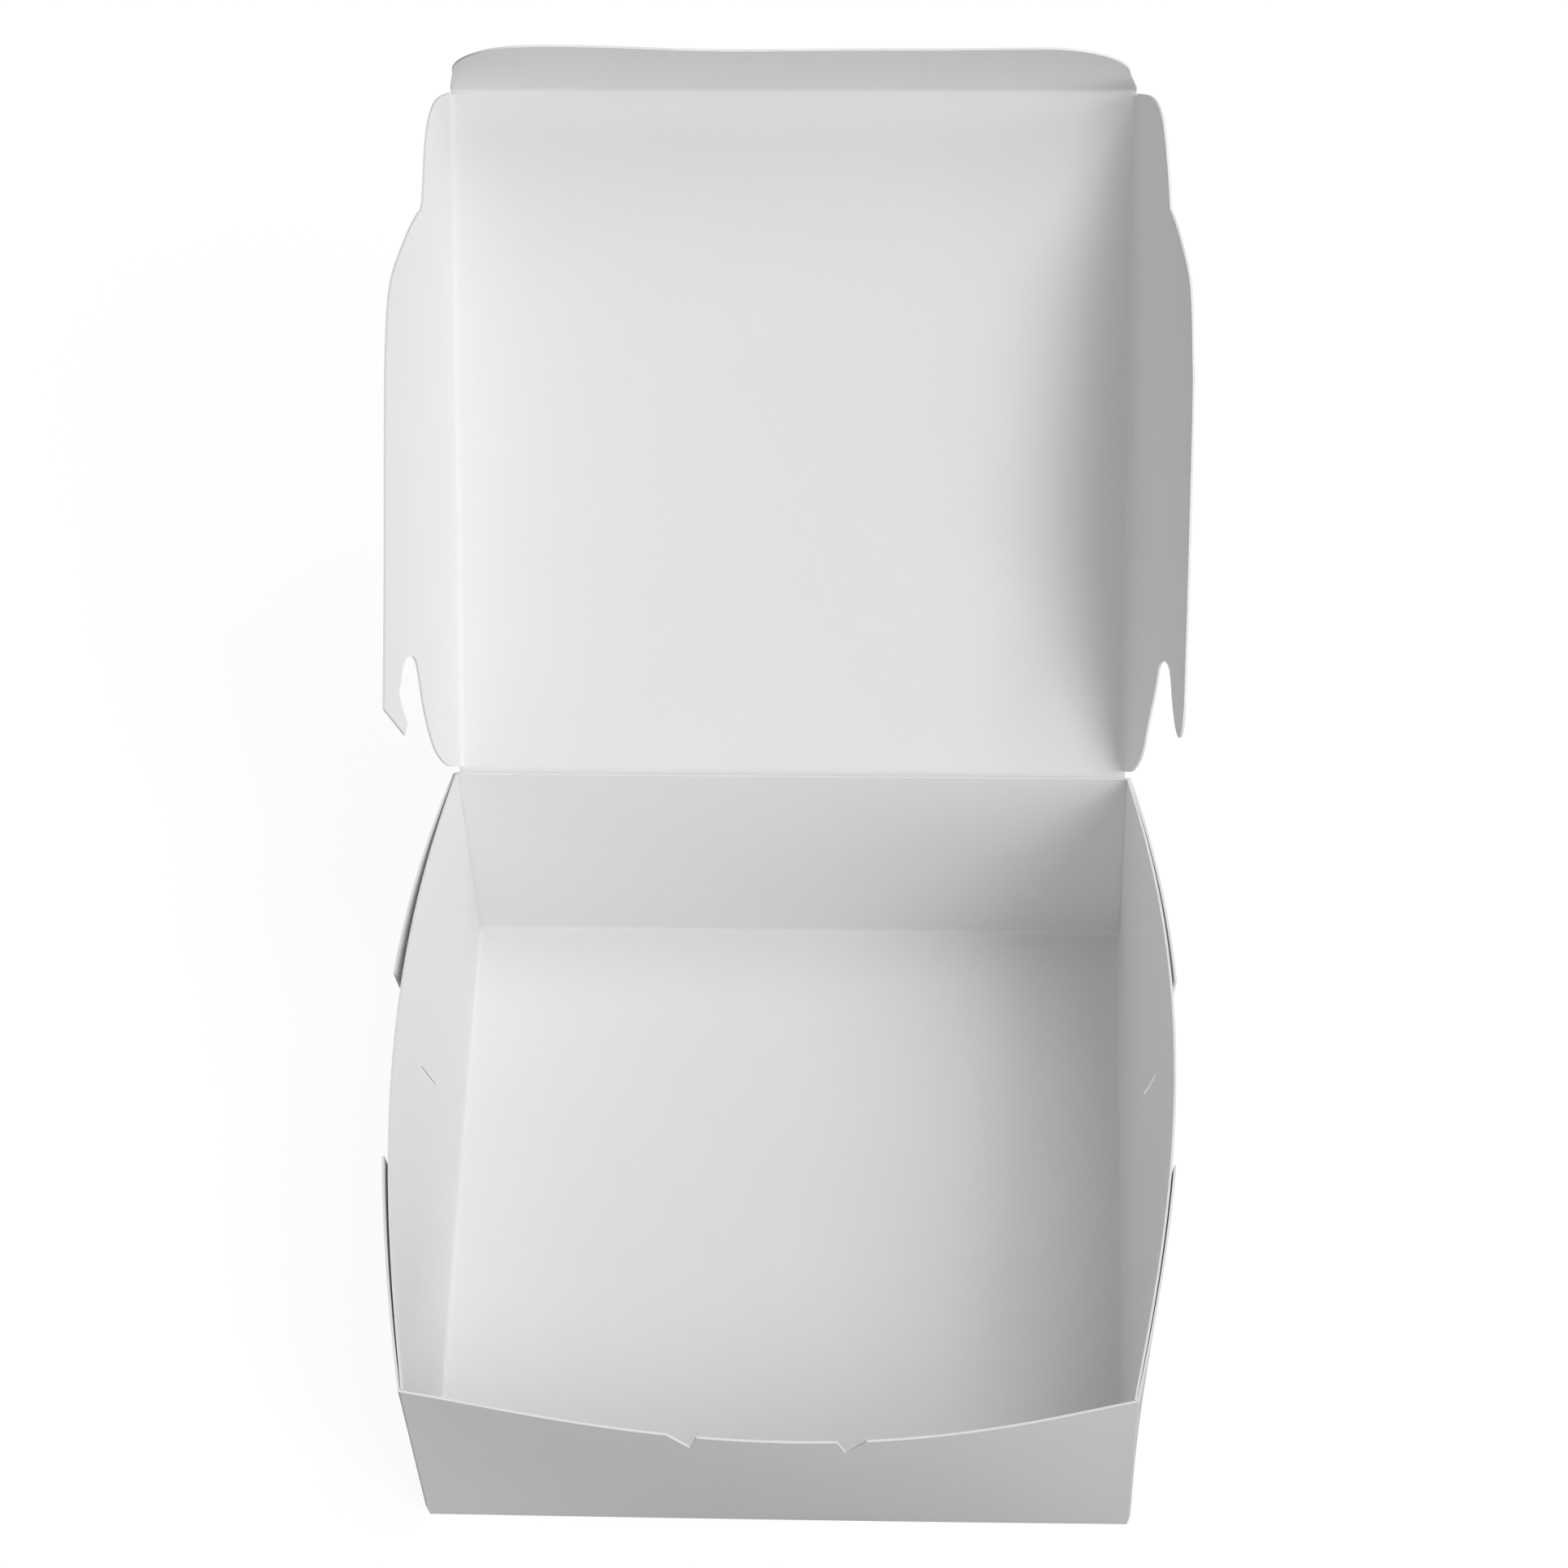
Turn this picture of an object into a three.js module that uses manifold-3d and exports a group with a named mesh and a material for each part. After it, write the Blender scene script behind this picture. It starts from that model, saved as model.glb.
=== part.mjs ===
// An open one-piece cake box folded from white paperboard: a square tray with glued corner tabs and a hinged lid
// whose front and side flaps tuck inside the tray. Millimetres, +Z up, +Y towards the hinge.
import * as THREE from "three";
import { mergeVertices } from "three/addons/utils/BufferGeometryUtils.js";
import Module from "manifold-3d";

const wasm = await Module();
wasm.setup();

// Board and its running clearances
const BOARD = 0.5;
const CREASE_GAP = 0.45;
const LID_SEAT_GAP = 0.35;
const GLUE_BITE = 0.25;

// Tray
const TRAY_WIDTH = 150;
const TRAY_DEPTH = 150;
const HINGE_HEIGHT = 60;
const FRONT_LEAN = 1;
const BACK_LEAN = 3;
const FRONT_FLARE = 0.4;
const LEFT_BOW = 8.2;
const RIGHT_BOW = 9.3;
const FRONT_BOW = 8.4;
const SIDE_BOW_FULLNESS = 1.05;
const SIDE_BOW_SKEW = 0.16;
const FRONT_BOW_FULLNESS = 1.15;
const FRONT_BOW_SKEW = 0.17;
const BARREL_TURN = 1.1;
const FRONT_EDGE_DIP = 3.7;

// Thumb notches in the front wall's top edge
const NOTCH_DEPTH = 6;
const NOTCH_INNER = 14.3;
const NOTCH_BOTTOM = 15.9;
const NOTCH_OUTER = 20.3;

// Glue tabs, wrapped round the outside of the side walls
const FRONT_TAB_LENGTH = 54;
const BACK_TAB_LENGTH = 51.5;
const TAB_FOOT_CLEARANCE = 2;
const TAB_END_RISE = 7;
const TAB_SPRING_RISE = 0.6;
const BACK_LEFT_SPRING = 1.6;
const BACK_RIGHT_SPRING = 0.6;
const FRONT_LEFT_SPRING = 0.7;
const FRONT_RIGHT_SPRING = 0.3;

// Lock slit in each side wall
const SLIT_WIDTH = 0.5;
const SLIT_LENGTH = 12;
const SLIT_Y = 16.5;
const SLIT_HEIGHT = 30;
const SLIT_TILT = THREE.MathUtils.degToRad(12);

// Lid
const LID_FRONT_CLEARANCE = 0.4;
const LID_SIDE_CLEARANCE = 1.5;
const LID_WIDENING = 2.2;
const LID_LENGTH = TRAY_DEPTH - LID_FRONT_CLEARANCE;
const LID_HINGE_WIDTH = TRAY_WIDTH - 2 * LID_SIDE_CLEARANCE;
const LID_FRONT_WIDTH = LID_HINGE_WIDTH + LID_WIDENING;
const LID_RAISE = THREE.MathUtils.degToRad(41.8);
const FLAP_FOLD = THREE.MathUtils.degToRad(74);

// Side flaps: depth at the lock finger, at the middle and along the front lobe
const FLAP_REAR_DEPTH = 42;
const LEFT_FLAP_MIDDLE_DEPTH = 38.6;
const RIGHT_FLAP_MIDDLE_DEPTH = 43.4;
const LEFT_LOBE_DEPTH = 18.2;
const RIGHT_LOBE_DEPTH = 24.6;
const LEFT_LOBE_LENGTH = 27.2;
const RIGHT_LOBE_LENGTH = 26;
const SHOULDER_LENGTH = 30;
const LEFT_LOBE_ROUNDING = 27;
const RIGHT_LOBE_ROUNDING = 18;
const FINGER_ROOT = 28;
const FINGER_TIP = 12;
const SLOT_CENTRE_DEPTH = 27.8;
const SLOT_WIDTH = 10.2;
const LEFT_FOOT_DEPTH = 22.4;
const RIGHT_FOOT_DEPTH = 20.5;

// Front flap
const FRONT_FLAP_DEPTH = 29.7;
const FRONT_FLAP_ROUNDING = 18.5;
const FRONT_FLAP_SIDE_TAPER = 1.6;

const COLUMNS = 28;
const ROWS = 6;
const WALL_HEIGHT = HINGE_HEIGHT - BOARD / 2 - LID_SEAT_GAP;

const boardMaterial = () => new THREE.MeshStandardMaterial({ color: 0xe8e8e8, roughness: 0.75, metalness: 0 });

/** Adds a named mesh to a group. */
function addNode(group, name, geometry) {
  const mesh = new THREE.Mesh(geometry, boardMaterial());
  mesh.name = name;
  group.add(mesh);
  return mesh;
}

/** Turns a closed geometry into a solid that can be joined and cut. */
function solidOf(geometry) {
  const bare = geometry.clone();
  bare.deleteAttribute("normal");
  bare.deleteAttribute("uv");
  const merged = mergeVertices(bare, 1e-5);
  const solid = new wasm.Manifold(new wasm.Mesh({
    numProp: 3,
    vertProperties: new Float32Array(merged.attributes.position.array),
    triVerts: new Uint32Array(merged.index.array),
  }));
  return solid;
}

/** Turns a solid back into a geometry. */
function geometryOf(solid) {
  const mesh = solid.getMesh();
  const geometry = new THREE.BufferGeometry();
  geometry.setAttribute("position", new THREE.BufferAttribute(new Float32Array(mesh.vertProperties), 3));
  geometry.setIndex(new THREE.BufferAttribute(new Uint32Array(mesh.triVerts), 1));
  geometry.computeVertexNormals();
  return geometry;
}

/** Closed sheet between two surfaces, each a function of (across, up) from 0 to 1 that gives a point. */
function sheet(columns, rows, outer, inner) {
  const points = [];
  for (const surface of [outer, inner]) {
    for (let row = 0; row <= rows; row++) {
      for (let column = 0; column <= columns; column++) {
        points.push(surface(column / columns, row / rows));
      }
    }
  }
  const side = (columns + 1) * (rows + 1);
  const at = (layer, column, row) => layer * side + row * (columns + 1) + column;
  const faces = [];
  const quad = (a, b, c, d) => faces.push([a, b, c], [a, c, d]);
  for (let row = 0; row < rows; row++) {
    for (let column = 0; column < columns; column++) {
      quad(at(0, column, row), at(0, column + 1, row), at(0, column + 1, row + 1), at(0, column, row + 1));
      quad(at(1, column, row), at(1, column, row + 1), at(1, column + 1, row + 1), at(1, column + 1, row));
    }
    quad(at(0, 0, row), at(0, 0, row + 1), at(1, 0, row + 1), at(1, 0, row));
    quad(at(0, columns, row), at(1, columns, row), at(1, columns, row + 1), at(0, columns, row + 1));
  }
  for (let column = 0; column < columns; column++) {
    quad(at(0, column, 0), at(1, column, 0), at(1, column + 1, 0), at(0, column + 1, 0));
    quad(at(0, column, rows), at(0, column + 1, rows), at(1, column + 1, rows), at(1, column, rows));
  }
  if (signedVolume(points, faces) < 0) faces.forEach((face) => face.reverse());
  const geometry = new THREE.BufferGeometry().setFromPoints(points);
  geometry.setIndex(faces.flat());
  return geometry;
}

/** Volume inside a closed set of triangles, negative when they face inwards. */
function signedVolume(points, faces) {
  return faces.reduce((sum, [a, b, c]) => {
    const cross = new THREE.Vector3().crossVectors(points[b], points[c]);
    return sum + points[a].dot(cross) / 6;
  }, 0);
}

/** Fullness of a wall's outward bow at a place from -1 to 1 along it, with more of it towards 1. */
const bowAt = (along, fullness, skew) => Math.max(0, 1 - along * along) ** fullness * (1 + skew * along);

/** Bow of a side wall, from the front to the back. */
const sideBowAt = (along) => bowAt(along, SIDE_BOW_FULLNESS, SIDE_BOW_SKEW);

/** Bow of the front wall and dip of its edge, from the left to the right. */
const frontBowAt = (along) => bowAt(along, FRONT_BOW_FULLNESS, FRONT_BOW_SKEW);

/** Share of the bow that a wall has reached at a height from 0 to 1. */
const barrelAt = (up) => Math.sin(BARREL_TURN * up) / Math.sin(BARREL_TURN);

const frontY = (up) => -TRAY_DEPTH / 2 - FRONT_LEAN * up;
const backY = (up) => TRAY_DEPTH / 2 + BACK_LEAN * up;

/** Half the tray's outer width at its corners, tabs included, flared towards the front. */
const cornerX = (across, up) => TRAY_WIDTH / 2 + FRONT_FLARE * (1 - across) * up;

/** Point of a side wall's outer face, moved outwards by an offset. */
function sideWallPoint(side, across, up, offset) {
  const bow = side < 0 ? LEFT_BOW : RIGHT_BOW;
  const reach = cornerX(across, up) - BOARD + bow * sideBowAt(2 * across - 1) * barrelAt(up);
  const y = THREE.MathUtils.lerp(frontY(up), backY(up), across);
  return new THREE.Vector3(side * (reach + offset), y, up * WALL_HEIGHT);
}

function sideWall(side) {
  return sheet(COLUMNS, ROWS,
    (across, up) => sideWallPoint(side, across, up, 0),
    (across, up) => sideWallPoint(side, across, up, -BOARD));
}

function frontWall() {
  const surface = (offset) => (across, up) => {
    const along = 2 * across - 1;
    const bow = FRONT_BOW * frontBowAt(along) * barrelAt(up);
    const height = WALL_HEIGHT - FRONT_EDGE_DIP * frontBowAt(along);
    return new THREE.Vector3(along * cornerX(0, up), frontY(up) - bow + offset, up * height);
  };
  return sheet(COLUMNS, ROWS, surface(0), surface(BOARD));
}

function backWall() {
  const height = HINGE_HEIGHT - CREASE_GAP;
  const surface = (offset) => (across, up) =>
    new THREE.Vector3((2 * across - 1) * cornerX(1, up), backY(up) + offset, up * height);
  return sheet(1, 1, surface(0), surface(-BOARD));
}

/** Glue tab from a corner along a side wall's outside. end is -1 at the front and 1 at the back. */
function glueTab(side, end, spring) {
  const topDepth = backY(1) - frontY(1);
  const length = end < 0 ? FRONT_TAB_LENGTH : BACK_TAB_LENGTH;
  const surface = (offset) => (out, rise) => {
    const low = TAB_FOOT_CLEARANCE + TAB_END_RISE * out;
    const up = THREE.MathUtils.lerp(low / WALL_HEIGHT, 1, rise);
    const fromCorner = (out * length) / topDepth;
    const across = end < 0 ? fromCorner : 1 - fromCorner;
    const standOff = (spring + GLUE_BITE) * out ** TAB_SPRING_RISE * rise ** 2;
    return sideWallPoint(side, across, up, offset + standOff);
  };
  return sheet(12, 5, surface(BOARD), surface(-GLUE_BITE));
}

/** V-shaped cutter for a thumb notch, gentle on its outer side and steep on its inner side. */
function notchCutter(side) {
  const above = NOTCH_DEPTH;
  const edge = WALL_HEIGHT - FRONT_EDGE_DIP * frontBowAt((side * NOTCH_BOTTOM) / (TRAY_WIDTH / 2));
  const inner = NOTCH_INNER - (NOTCH_BOTTOM - NOTCH_INNER) * (above / NOTCH_DEPTH);
  const outer = NOTCH_OUTER + (NOTCH_OUTER - NOTCH_BOTTOM) * (above / NOTCH_DEPTH);
  const outline = new THREE.Shape();
  outline.moveTo(side * NOTCH_BOTTOM, edge - NOTCH_DEPTH);
  outline.lineTo(side * outer, edge + above);
  outline.lineTo(side * inner, edge + above);
  outline.closePath();
  const reach = FRONT_BOW + FRONT_LEAN + 4 * BOARD;
  const cutter = new THREE.ExtrudeGeometry(outline, { depth: reach, bevelEnabled: false });
  cutter.rotateX(Math.PI / 2);
  cutter.translate(0, -TRAY_DEPTH / 2 + BOARD * 2, 0);
  return cutter;
}

function slitCutter(side) {
  const reach = LEFT_BOW + RIGHT_BOW + 4 * BOARD;
  const cutter = new THREE.BoxGeometry(reach, SLIT_WIDTH, SLIT_LENGTH);
  cutter.rotateX(SLIT_TILT);
  cutter.translate(side * (TRAY_WIDTH / 2 + reach / 2 - 3 * BOARD), SLIT_Y, SLIT_HEIGHT);
  return cutter;
}

function tray() {
  const floor = new THREE.BoxGeometry(TRAY_WIDTH - 2 * BOARD, TRAY_DEPTH, BOARD);
  floor.translate(0, 0, BOARD / 2);
  const pieces = [
    sideWall(-1),
    sideWall(1),
    frontWall(),
    backWall(),
    glueTab(-1, -1, FRONT_LEFT_SPRING),
    glueTab(1, -1, FRONT_RIGHT_SPRING),
    glueTab(-1, 1, BACK_LEFT_SPRING),
    glueTab(1, 1, BACK_RIGHT_SPRING),
  ];
  let solid = solidOf(floor);
  for (const piece of pieces) solid = solid.add(solidOf(piece));
  for (const side of [-1, 1]) {
    solid = solid.subtract(solidOf(notchCutter(side)));
    solid = solid.subtract(solidOf(slitCutter(side)));
  }
  return geometryOf(solid);
}

/** Board cut to an outline in XY, centred on the plane z = 0. */
function boardCut(outline) {
  const geometry = new THREE.ExtrudeGeometry(outline, { depth: BOARD, bevelEnabled: false, curveSegments: 5 });
  geometry.translate(0, 0, -BOARD / 2);
  return geometry;
}

function lidPanel() {
  const outline = new THREE.Shape();
  const hinge = LID_HINGE_WIDTH / 2 - CREASE_GAP;
  const front = LID_FRONT_WIDTH / 2 - CREASE_GAP;
  outline.moveTo(-hinge, CREASE_GAP);
  outline.lineTo(hinge, CREASE_GAP);
  outline.lineTo(front, LID_LENGTH - CREASE_GAP);
  outline.lineTo(-front, LID_LENGTH - CREASE_GAP);
  outline.closePath();
  return boardCut(outline);
}

/** Outline of a side flap: x is the depth from its crease, signed by side, and y the distance from the hinge. */
function sideFlapOutline(side, flap) {
  const { middleDepth, lobeDepth, lobeLength, lobeRounding, footDepth, hooked } = flap;
  const at = (depth, along) => new THREE.Vector2(side * depth, along);
  const lobeStart = LID_LENGTH - lobeLength;
  const slotOuter = SLOT_CENTRE_DEPTH + SLOT_WIDTH / 2;
  const slotInner = SLOT_CENTRE_DEPTH - SLOT_WIDTH / 2;
  const outline = new THREE.Shape();
  outline.moveTo(side * CREASE_GAP, CREASE_GAP);
  outline.splineThru([
    at(footDepth * 0.36, 2),
    at(footDepth * 0.66, 6.5),
    at(footDepth * 0.88, 14.5),
    at(slotInner, FINGER_ROOT - SLOT_WIDTH / 2),
  ]);
  outline.splineThru([
    at(SLOT_CENTRE_DEPTH - SLOT_WIDTH * 0.33, FINGER_ROOT - SLOT_WIDTH * 0.12),
    at(SLOT_CENTRE_DEPTH, FINGER_ROOT),
    at(SLOT_CENTRE_DEPTH + SLOT_WIDTH * 0.33, FINGER_ROOT - SLOT_WIDTH * 0.12),
    at(slotOuter, FINGER_ROOT - SLOT_WIDTH / 2),
  ]);
  if (hooked) {
    outline.splineThru([
      at(slotOuter + 1, FINGER_ROOT - 7.5),
      at(slotOuter - 0.6, FINGER_ROOT - 11),
      at(slotOuter - 3.3, FINGER_ROOT - 14.6),
    ]);
    outline.lineTo(side * (slotOuter - 1.8), FINGER_TIP - 0.8);
    outline.lineTo(side * FLAP_REAR_DEPTH, FINGER_TIP + 6);
  } else {
    outline.splineThru([
      at(slotOuter + 0.8, FINGER_ROOT - 8),
      at(slotOuter + 3, FINGER_TIP + 3.2),
      at((slotOuter + FLAP_REAR_DEPTH) / 2 + 1.2, FINGER_TIP + 0.8),
      at(FLAP_REAR_DEPTH - 1, FINGER_TIP + 3),
      at(FLAP_REAR_DEPTH, FINGER_TIP + 8),
    ]);
  }
  outline.splineThru([
    at(THREE.MathUtils.lerp(FLAP_REAR_DEPTH, middleDepth, 0.5), LID_LENGTH * 0.3),
    at(middleDepth, LID_LENGTH * 0.55),
    at(middleDepth - 0.6, lobeStart - SHOULDER_LENGTH),
  ]);
  outline.splineThru([
    at(THREE.MathUtils.lerp(lobeDepth, middleDepth, 0.83), lobeStart - SHOULDER_LENGTH * 0.5),
    at(THREE.MathUtils.lerp(lobeDepth, middleDepth, 0.4), lobeStart - SHOULDER_LENGTH * 0.16),
    at(lobeDepth + 1.2, lobeStart + 0.5),
  ]);
  outline.splineThru([
    at(lobeDepth - 1.2, LID_LENGTH - lobeRounding * 0.9),
    at(lobeDepth * 0.78, LID_LENGTH - lobeRounding * 0.36),
    at(lobeDepth * 0.5, LID_LENGTH - lobeRounding * 0.11),
    at(CREASE_GAP * 2, LID_LENGTH - CREASE_GAP * 2),
  ]);
  outline.lineTo(side * CREASE_GAP, LID_LENGTH - CREASE_GAP * 2);
  outline.closePath();
  return outline;
}

function frontFlapOutline() {
  const half = LID_FRONT_WIDTH / 2 - CREASE_GAP;
  const waist = half - FRONT_FLAP_SIDE_TAPER;
  const round = FRONT_FLAP_ROUNDING;
  const shoulder = FRONT_FLAP_DEPTH - round;
  const outline = new THREE.Shape();
  outline.moveTo(-half, CREASE_GAP);
  outline.lineTo(half, CREASE_GAP);
  outline.lineTo(waist, shoulder);
  outline.absarc(waist - round, shoulder, round, 0, Math.PI / 2, false);
  outline.lineTo(-(waist - round), FRONT_FLAP_DEPTH);
  outline.absarc(-(waist - round), shoulder, round, Math.PI / 2, Math.PI, false);
  outline.closePath();
  return outline;
}

const LEFT_FLAP = {
  middleDepth: LEFT_FLAP_MIDDLE_DEPTH,
  lobeDepth: LEFT_LOBE_DEPTH,
  lobeLength: LEFT_LOBE_LENGTH,
  lobeRounding: LEFT_LOBE_ROUNDING,
  footDepth: LEFT_FOOT_DEPTH,
  hooked: true,
};

const RIGHT_FLAP = {
  middleDepth: RIGHT_FLAP_MIDDLE_DEPTH,
  lobeDepth: RIGHT_LOBE_DEPTH,
  lobeLength: RIGHT_LOBE_LENGTH,
  lobeRounding: RIGHT_LOBE_ROUNDING,
  footDepth: RIGHT_FOOT_DEPTH,
  hooked: false,
};

/** Side flap in its own group, turned so that its crease lies along the lid's side. */
function sideFlap(side, flap) {
  const crease = new THREE.Group();
  const taper = Math.atan((LID_FRONT_WIDTH - LID_HINGE_WIDTH) / 2 / LID_LENGTH);
  crease.position.set(side * LID_HINGE_WIDTH / 2, 0, 0);
  crease.rotation.set(0, -side * FLAP_FOLD, -side * taper, "ZYX");
  const name = side < 0 ? "lid_left_flap" : "lid_right_flap";
  addNode(crease, name, boardCut(sideFlapOutline(side, flap)));
  return crease;
}

function frontFlap() {
  const crease = new THREE.Group();
  crease.position.set(0, LID_LENGTH, 0);
  crease.rotation.x = FLAP_FOLD;
  addNode(crease, "lid_front_flap", boardCut(frontFlapOutline()));
  return crease;
}

function lid() {
  const hinge = new THREE.Group();
  hinge.position.set(0, backY(1), HINGE_HEIGHT);
  hinge.rotation.x = LID_RAISE;
  addNode(hinge, "lid_panel", lidPanel());
  hinge.add(sideFlap(-1, LEFT_FLAP));
  hinge.add(sideFlap(1, RIGHT_FLAP));
  hinge.add(frontFlap());
  return hinge;
}

const cakeBox = new THREE.Group();
addNode(cakeBox, "tray", tray());
cakeBox.add(lid());
export default cakeBox;
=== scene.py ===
"""Looks of an open cake box folded from one sheet of white board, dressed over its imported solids."""

import logging
import math
from dataclasses import dataclass, field
from enum import Enum
from typing import Callable

import bmesh
import bpy
from mathutils import Matrix, Vector


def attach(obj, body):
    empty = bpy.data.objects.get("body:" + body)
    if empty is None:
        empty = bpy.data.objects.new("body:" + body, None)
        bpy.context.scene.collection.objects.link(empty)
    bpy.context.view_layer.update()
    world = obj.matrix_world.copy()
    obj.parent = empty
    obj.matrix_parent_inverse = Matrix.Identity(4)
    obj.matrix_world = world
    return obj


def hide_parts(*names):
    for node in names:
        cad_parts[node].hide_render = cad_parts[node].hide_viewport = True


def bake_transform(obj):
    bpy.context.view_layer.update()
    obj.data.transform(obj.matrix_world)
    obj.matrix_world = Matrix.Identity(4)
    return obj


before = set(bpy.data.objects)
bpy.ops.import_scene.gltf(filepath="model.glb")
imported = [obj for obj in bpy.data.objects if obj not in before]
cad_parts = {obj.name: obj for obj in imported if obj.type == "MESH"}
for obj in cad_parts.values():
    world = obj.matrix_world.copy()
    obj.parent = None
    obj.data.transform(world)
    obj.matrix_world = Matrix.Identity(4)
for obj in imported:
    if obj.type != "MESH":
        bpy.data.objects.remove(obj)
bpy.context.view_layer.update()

# Lengths are millimetres, MM makes them metres, and angles are degrees.
MM = 0.001
BOARD = 0.5
CREASE_REACH = 1.2
CREASE_RADIUS = 1.5
HINGE_RADIUS = 2.2
HINGE_OVERHANG = 0.2
FLAP_REAR_GAP = 0.75
FLAP_FRONT_GAP = 0.9
FOLD_STEPS = 5
SAME_PLACE = 0.01
CUT_TOLERANCE = 0.0005
ABOVE_FLOOR = 1.0
SMOOTH_ANGLE = 32.0
ACROSS = Vector((1.0, 0.0, 0.0))
FORWARD = Vector((0.0, 1.0, 0.0))

EdgeTest = Callable[[Vector, Vector], bool]
Move = tuple[float, float, float]
Knots = tuple[tuple[float, float], ...]

log = logging.getLogger("cake_box")


class Side(Enum):
    """Left or right of the box, seen from the front, with the sign of its x."""

    LEFT = -1
    RIGHT = 1


class End(Enum):
    """Front or back of the tray, with the sign of its y."""

    FRONT = -1
    BACK = 1


class Face(Enum):
    """Material slots of every piece of board."""

    SURFACE = 0
    CUT_EDGE = 1


def grey(shade: float) -> tuple[float, float, float, float]:
    """A grey of one shade as an opaque colour."""
    return (shade, shade, shade, 1.0)


def near(value: float, target: float) -> bool:
    """Whether two lengths are one place."""
    return abs(value - target) < SAME_PLACE


def edge_at(first: Vector, second: Vector, axis: int, place: float) -> bool:
    """Whether both ends of an edge lie at a place along an axis."""
    return near(first[axis], place) and near(second[axis], place)


@dataclass(frozen=True)
class BoardFinish:
    """White paper board as a procedural material on object coordinates, whose unit is the metre."""

    name: str
    shade: float
    shade_spread: float
    mottle_scale: float
    fibre_scale: float
    fibre_stretch: tuple[float, float, float]
    bump_strength: float
    roughness_low: float
    roughness_high: float
    specular: float = 0.3
    mottle_detail: float = 4.0
    mottle_roughness: float = 0.55
    fibre_detail: float = 3.0
    fibre_share: float = 0.35
    ramp_ends: tuple[float, float] = (0.25, 0.75)
    bump_depth: float = 0.05

    def material(self) -> bpy.types.Material:
        """Makes the material, or returns the one already made.

        Returns:
            The node material of this finish.
        """
        made = bpy.data.materials.get(self.name)
        if made:
            return made
        material = bpy.data.materials.new(self.name)
        material.use_nodes = True
        nodes, links = material.node_tree.nodes, material.node_tree.links
        shader = nodes["Principled BSDF"]
        shader.inputs["Specular IOR Level"].default_value = self.specular
        place = nodes.new("ShaderNodeTexCoord").outputs["Object"]

        mottle = nodes.new("ShaderNodeTexNoise")
        mottle.inputs["Scale"].default_value = self.mottle_scale
        mottle.inputs["Detail"].default_value = self.mottle_detail
        mottle.inputs["Roughness"].default_value = self.mottle_roughness
        links.new(place, mottle.inputs["Vector"])

        stretch = nodes.new("ShaderNodeMapping")
        stretch.inputs["Scale"].default_value = self.fibre_stretch
        links.new(place, stretch.inputs["Vector"])
        fibre = nodes.new("ShaderNodeTexNoise")
        fibre.inputs["Scale"].default_value = self.fibre_scale
        fibre.inputs["Detail"].default_value = self.fibre_detail
        links.new(stretch.outputs["Vector"], fibre.inputs["Vector"])

        blend = nodes.new("ShaderNodeMix")
        blend.data_type = "FLOAT"
        blend.inputs["Factor"].default_value = self.fibre_share
        links.new(mottle.outputs["Fac"], blend.inputs["A"])
        links.new(fibre.outputs["Fac"], blend.inputs["B"])

        colour = nodes.new("ShaderNodeValToRGB")
        shades = (self.shade - self.shade_spread, self.shade + self.shade_spread)
        for stop, position, shade in zip(colour.color_ramp.elements, self.ramp_ends, shades):
            stop.position = position
            stop.color = grey(shade)
        links.new(blend.outputs["Result"], colour.inputs["Fac"])
        links.new(colour.outputs["Color"], shader.inputs["Base Color"])

        rough = nodes.new("ShaderNodeMapRange")
        rough.inputs["To Min"].default_value = self.roughness_low
        rough.inputs["To Max"].default_value = self.roughness_high
        links.new(mottle.outputs["Fac"], rough.inputs["Value"])
        links.new(rough.outputs["Result"], shader.inputs["Roughness"])

        bump = nodes.new("ShaderNodeBump")
        bump.inputs["Strength"].default_value = self.bump_strength
        bump.inputs["Distance"].default_value = self.bump_depth * MM
        links.new(fibre.outputs["Fac"], bump.inputs["Height"])
        links.new(bump.outputs["Normal"], shader.inputs["Normal"])
        return material


SURFACE_FINISH = BoardFinish(
    name="white_board_surface",
    shade=0.82,
    shade_spread=0.010,
    mottle_scale=38.0,
    fibre_scale=900.0,
    fibre_stretch=(1.0, 0.45, 1.0),
    bump_strength=0.25,
    roughness_low=0.62,
    roughness_high=0.78,
)
# The cut edge's own tone, set lighter than the surface so that the rims carry a painted highlight.
EDGE_FINISH_AND_HIGHLIGHT = BoardFinish(
    name="white_board_cut_edge_and_painted_highlight",
    shade=0.88,
    shade_spread=0.04,
    mottle_scale=260.0,
    fibre_scale=2400.0,
    fibre_stretch=(1.0, 1.0, 2.5),
    bump_strength=0.6,
    roughness_low=0.85,
    roughness_high=0.95,
    specular=0.15,
)


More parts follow.
